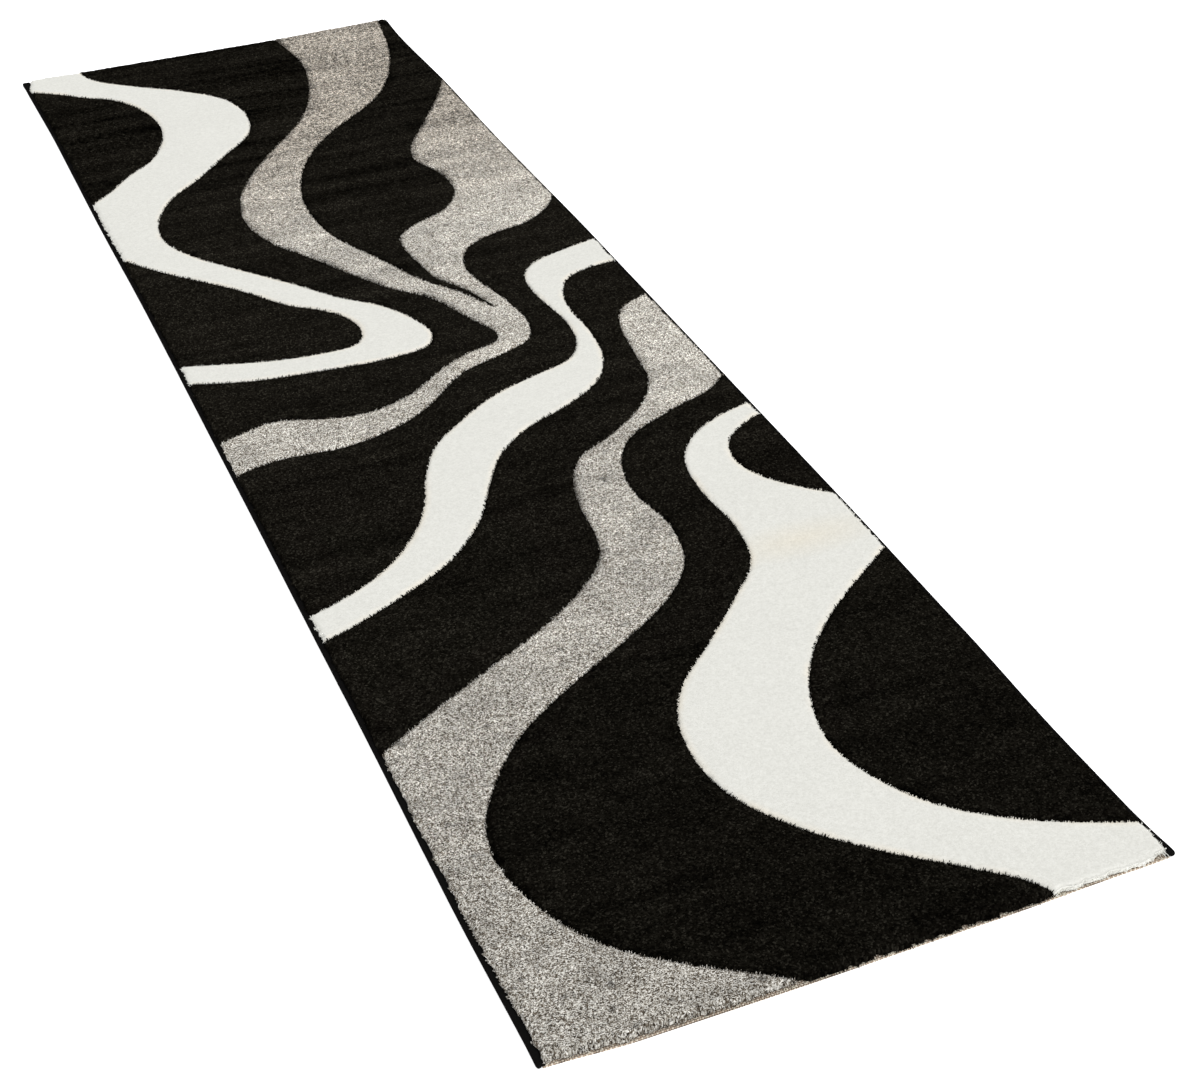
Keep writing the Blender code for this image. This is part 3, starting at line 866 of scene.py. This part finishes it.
def makeOvercastEdge(sideName, side):
    look = overcastLook
    nodeName = sideName + "_overcast_edge"
    low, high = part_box(nodeName)
    middle = (low + high) / 2
    halfWidth, halfHeight = (high.x - low.x) / 2, (high.z - low.z) / 2
    outer = slottedOval(halfWidth, halfHeight, look["slotLow"], look["slotHigh"], look["outerSides"])
    inner = slottedOval(
        halfWidth - look["wall"], halfHeight - look["wall"],
        look["slotLow"] - look["wall"], look["slotHigh"] - look["wall"], look["innerSides"],
    )
    section = outer + inner[::-1]
    length = high.y - low.y
    rings = round(length / look["wrapPitch"]) * look["ringsPerWrap"]

    def placeAt(column, ring):
        point = section[column].copy()
        along = low.y + length * ring / rings
        isOuter = column < len(outer)
        if isOuter and ring % look["ringsPerWrap"] == 0:
            point -= point.normalized() * look["ridge"]
        toEnd = min(along - low.y, high.y - along)
        if toEnd < look["roundedEnd"]:
            share = 1 - toEnd / look["roundedEnd"]
            point *= 1 - (1 - look["endShare"]) * (1 - math.sqrt(max(0.0, 1 - share * share)))
        if isOuter:
            isFar = along > 0
            point *= 1 + look["bulb"][sideName][isFar] * smoothFall(toEnd, look["bulbLength"])
            if point.x < 0 and point.z > 0:
                fade = smoothFall(toEnd, look["deeperReach"][sideName][isFar])
                point.x -= look["tuck"] + look["deeper"][sideName][isFar] * fade
        slant = look["wrapPitch"] * (column / len(outer) - 0.5) if isOuter else 0.0
        slant *= min(1.0, toEnd / look["roundedEnd"])
        drift = look["wobble"] * noise.noise(Vector((side * 5, along * 9, 0)))
        x = middle.x + side * (point.x - abs(drift))
        return Vector((x, along + slant, max(0.0, middle.z + point.z)))

    bm = wrapGrid(len(section), rings, placeAt)
    piece = finishPiece(nodeName + "_yarn", bm, yarnMaterials["overcastYarn"])
    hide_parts(nodeName)
    return piece


cordLook = {
    "sides": 12, "plies": 3, "plyDepth": 0.00028, "twistPitch": 0.022, "ringStep": 0.003, "inset": 0.004,
}


def makeFillerCord(nodeName):
    look = cordLook
    low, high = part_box(nodeName)
    middle = (low + high) / 2
    radius = (high.z - low.z) / 2
    length = high.y - low.y - 2 * look["inset"]
    rings = round(length / look["ringStep"])

    def placeAt(column, ring):
        along = low.y + look["inset"] + length * ring / rings
        angle = 2 * math.pi * column / look["sides"]
        twist = 2 * math.pi * along / look["twistPitch"]
        lobe = radius - look["plyDepth"] * (1 + math.cos(look["plies"] * (angle - twist))) / 2
        return Vector((middle.x + lobe * math.cos(angle), along, middle.z + lobe * math.sin(angle)))

    bm = wrapGrid(look["sides"], rings, placeAt)
    piece = finishPiece(nodeName + "_twisted", bm, yarnMaterials["fillerCord"])
    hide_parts(nodeName)
    return piece


for sideName, side in (("left", -1), ("right", 1)):
    makeOvercastEdge(sideName, side)
    makeFillerCord(sideName + "_edge_cord")
print("overcast edges made")


groundLook = {"pickPitch": 0.0029, "pickDepth": 0.00035, "ringsPerPick": 2, "columns": 8,
              "selvedge": 0.0012, "selvedgeReach": 0.0014}


def makeGroundWeave():
    look = groundLook
    low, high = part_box("ground_weave")
    tongueFoot = high.z - look["selvedge"]
    bodyHalf = high.x - look["selvedgeReach"]
    across = [bodyHalf * (2 * step / look["columns"] - 1) for step in range(look["columns"] + 1)]
    section = [(x, low.z, 1) for x in across]
    section += [(bodyHalf, tongueFoot, 0), (high.x, tongueFoot, 0), (high.x, high.z, 0)]
    section += [(x, high.z, -1) for x in across[::-1]]
    section += [(low.x, high.z, 0), (low.x, tongueFoot, 0), (-bodyHalf, tongueFoot, 0)]
    length = high.y - low.y
    rings = round(length / look["pickPitch"]) * look["ringsPerPick"]

    def placeAt(column, ring):
        x, z, relief = section[column]
        between = ring % look["ringsPerPick"] == 0
        return Vector((x, low.y + length * ring / rings, z + relief * look["pickDepth"] * between))

    bm = wrapGrid(len(section), rings, placeAt)
    piece = finishPiece("ground_weave_cloth", bm, weaveMaterial, smooth=False)
    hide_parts("ground_weave")
    return piece


headerLook = {
    "picks": 4, "pickSteps": 4, "warpPitch": 0.0030, "ringsPerWarp": 2, "pinch": 0.0005, "lipPinch": 0.0004,
}


def makeEndHeader(nodeName, end):
    look = headerLook
    low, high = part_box(nodeName)
    outerY = end * max(abs(low.y), abs(high.y))
    width = high.y - low.y
    height = high.z - low.z
    pickWidth = width / look["picks"]
    section = [(outerY - end * width, low.z, 0), (outerY, low.z, 0)]
    for pick in range(look["picks"]):
        middle = outerY - end * pickWidth * (pick + 0.5)
        for step in range(look["pickSteps"] + (pick == look["picks"] - 1)):
            angle = math.pi * step / look["pickSteps"]
            rise = height / 2 * (1 + math.sin(angle))
            section.append((middle + end * pickWidth / 2 * math.cos(angle), low.z + rise, pick % 2 * 2 - 1))
    length = high.x - low.x
    rings = round(length / look["warpPitch"]) * look["ringsPerWarp"]

    def placeAt(column, ring):
        y, z, relief = section[column]
        bound = (ring % look["ringsPerWarp"] == 0) == (relief > 0)
        lowered = look["pinch"] if relief and bound else 0.0
        inwards = end * look["lipPinch"] if column == 2 and ring % look["ringsPerWarp"] == 0 else 0.0
        return Vector((low.x + length * ring / rings, y - inwards, max(z - lowered, low.z)))

    bm = wrapGrid(len(section), rings, placeAt)
    piece = finishPiece(nodeName + "_woven", bm, weaveMaterial, smooth=False)
    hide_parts(nodeName)
    return piece


frayLook = {
    "spacing": 0.0010, "length": (0.0018, 0.0040), "thickness": (0.0006, 0.0011), "sides": 4,
    "baredFrom": -0.11, "baredTo": 0.275,  # where the pile is thin over the header
    "tipShare": 0.6, "reach": (0.2, 1.0), "rise": (-0.1, 0.6),
    "footIn": (0.0005, 0.0045), "footHeight": (0.0018, 0.0032),
    "kept": 0.55, "keptElsewhere": 0.10, "patchPerMetre": 60.0, "patchiness": 2.0,
}


def makeWarpEnds(name, nodeName, end, seed):
    # cut ends of the pale warp, fraying over the outer pick
    look = frayLook
    low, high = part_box(nodeName)
    outerY = end * max(abs(low.y), abs(high.y))
    rng = random.Random(seed)
    bm = bmesh.new()
    count = round((high.x - low.x) / look["spacing"])
    for step in range(count):
        x = low.x + (high.x - low.x) * (step + rng.random()) / count
        keep = look["kept"] + look["patchiness"] * noise.noise(Vector((x * look["patchPerMetre"], seed, 0)))
        if not look["baredFrom"] < x < look["baredTo"]:
            keep = look["keptElsewhere"]
        length = rng.uniform(*look["length"])
        direction = Vector(
            (rng.uniform(-1, 1), end * rng.uniform(*look["reach"]), rng.uniform(*look["rise"]))
        )
        foot = Vector((x, outerY - end * rng.uniform(*look["footIn"]), rng.uniform(*look["footHeight"])))
        thickness = rng.uniform(*look["thickness"])
        if rng.random() > keep:
            continue
        bmesh.ops.create_cone(
            bm, cap_ends=True, segments=look["sides"], radius1=thickness,
            radius2=thickness * look["tipShare"], depth=length,
            matrix=tuftMatrix(foot, direction.normalized(), length),
        )
    return finishPiece(name, bm, yarnMaterials["warpYarn"])


groundWeave = makeGroundWeave()
headers = [makeEndHeader("near_end_header", -1), makeEndHeader("far_end_header", 1)]
warpEnds = [makeWarpEnds("near_warp_ends", "near_end_header", -1, seed=301),
            makeWarpEnds("far_warp_ends", "far_end_header", 1, seed=302)]
print("ground weave made")


looseLook = {"sides": 5, "rings": 10, "radius": 0.0005, "thinning": 0.4, "aheadStep": 0.02}
looseStrands = (
    ((0.3860, -1.4935, 0.0080), (0.3895, -1.4990, 0.0070),
     (0.3915, -1.5030, 0.0015), (0.3905, -1.5055, 0.0006)),
    ((0.3845, -1.4930, 0.0075), (0.3860, -1.4985, 0.0075),
     (0.3855, -1.5030, 0.0020), (0.3870, -1.5050, 0.0006)),
)


def makeLooseStrand(number, corners):
    look = looseLook
    knots = [Vector(corner) for corner in corners]

    def along(share):
        # a cubic Bezier curve through the first and last knots
        rest = 1 - share
        return (knots[0] * rest ** 3 + knots[1] * 3 * rest ** 2 * share
                + knots[2] * 3 * rest * share ** 2 + knots[3] * share ** 3)

    def placeAt(column, ring):
        share = ring / look["rings"]
        step = look["aheadStep"]
        ahead = (along(min(share + step, 1)) - along(max(share - step, 0))).normalized()
        side = ahead.cross(Vector((1, 0, 0))).normalized()
        other = ahead.cross(side)
        angle = 2 * math.pi * column / look["sides"]
        thin = look["radius"] * (1 - look["thinning"] * share)
        return along(share) + (side * math.cos(angle) + other * math.sin(angle)) * thin

    bm = wrapGrid(look["sides"], look["rings"], placeAt)
    return finishPiece(f"loose_yarn_end_{number}", bm, pileMaterials["whitePile"])


loosePieces = [makeLooseStrand(number + 1, corners) for number, corners in enumerate(looseStrands)]


floorLook = {"size": 120, "below": 0.0004, "tone": 0.93, "roughness": 0.9, "specular": 0.1, "glow": 0.65}


def makeFloor():
    bm = bmesh.new()
    bmesh.ops.create_grid(bm, x_segments=1, y_segments=1, size=floorLook["size"])
    bmesh.ops.translate(bm, verts=bm.verts, vec=(0, 0, -floorLook["below"]))
    mesh = bpy.data.meshes.new("floor")
    bm.to_mesh(mesh)
    bm.free()
    material = bpy.data.materials.new("paleFloor")
    material.use_nodes = True
    shader = material.node_tree.nodes["Principled BSDF"]
    shader.inputs["Base Color"].default_value = (*(floorLook["tone"],) * 3, 1)
    shader.inputs["Roughness"].default_value = floorLook["roughness"]
    shader.inputs["Specular IOR Level"].default_value = floorLook["specular"]
    shader.inputs["Emission Color"].default_value = (1, 1, 1, 1)
    shader.inputs["Emission Strength"].default_value = floorLook["glow"]
    mesh.materials.append(material)
    floor = bpy.data.objects.new("floor", mesh)
    bpy.context.scene.collection.objects.link(floor)
    floor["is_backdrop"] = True


studio = {
    "skyStrength": 0.75,
    "sunStrength": 1.5, "sunSoftness": 40.0, "sunFrom": (0.35, -0.55, 1.0),
    "cameraPlace": (-0.911, -3.073, 1.782), "cameraTurn": 22.34, "cameraTilt": 33.87, "cameraRoll": -1.556,
    "lens": 66.65, "shiftX": -0.0333,
}


def makeStudio():
    scene = bpy.context.scene
    world = bpy.data.worlds.new("studioSky")
    world.use_nodes = True
    sky = world.node_tree.nodes["Background"]
    sky.inputs["Color"].default_value = (1, 1, 1, 1)
    sky.inputs["Strength"].default_value = studio["skyStrength"]
    scene.world = world
    lamp = bpy.data.lights.new("softKey", "SUN")
    lamp.energy = studio["sunStrength"]
    lamp.angle = math.radians(studio["sunSoftness"])
    key = bpy.data.objects.new("softKey", lamp)
    key.rotation_euler = Vector(studio["sunFrom"]).to_track_quat("Z", "Y").to_euler()
    scene.collection.objects.link(key)
    lens = bpy.data.cameras.new("camera")
    lens.lens = studio["lens"]
    lens.shift_x = studio["shiftX"]
    camera = bpy.data.objects.new("camera", lens)
    turn, tilt = math.radians(studio["cameraTurn"]), math.radians(studio["cameraTilt"])
    ahead = Vector((math.sin(turn) * math.cos(tilt), math.cos(turn) * math.cos(tilt), -math.sin(tilt)))
    facing = ahead.to_track_quat("-Z", "Y").to_matrix()
    roll = Matrix.Rotation(math.radians(studio["cameraRoll"]), 3, "Z")
    camera.rotation_euler = (facing @ roll).to_euler()
    camera.location = studio["cameraPlace"]
    scene.collection.objects.link(camera)
    scene.camera = camera
    scene.view_settings.view_transform = "Standard"
    scene.view_settings.look = "None"


makeFloor()
makeStudio()
print("studio set")
triangles = sum(len(polygon.vertices) - 2 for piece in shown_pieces() for polygon in piece.data.polygons)
print("triangles:", triangles)
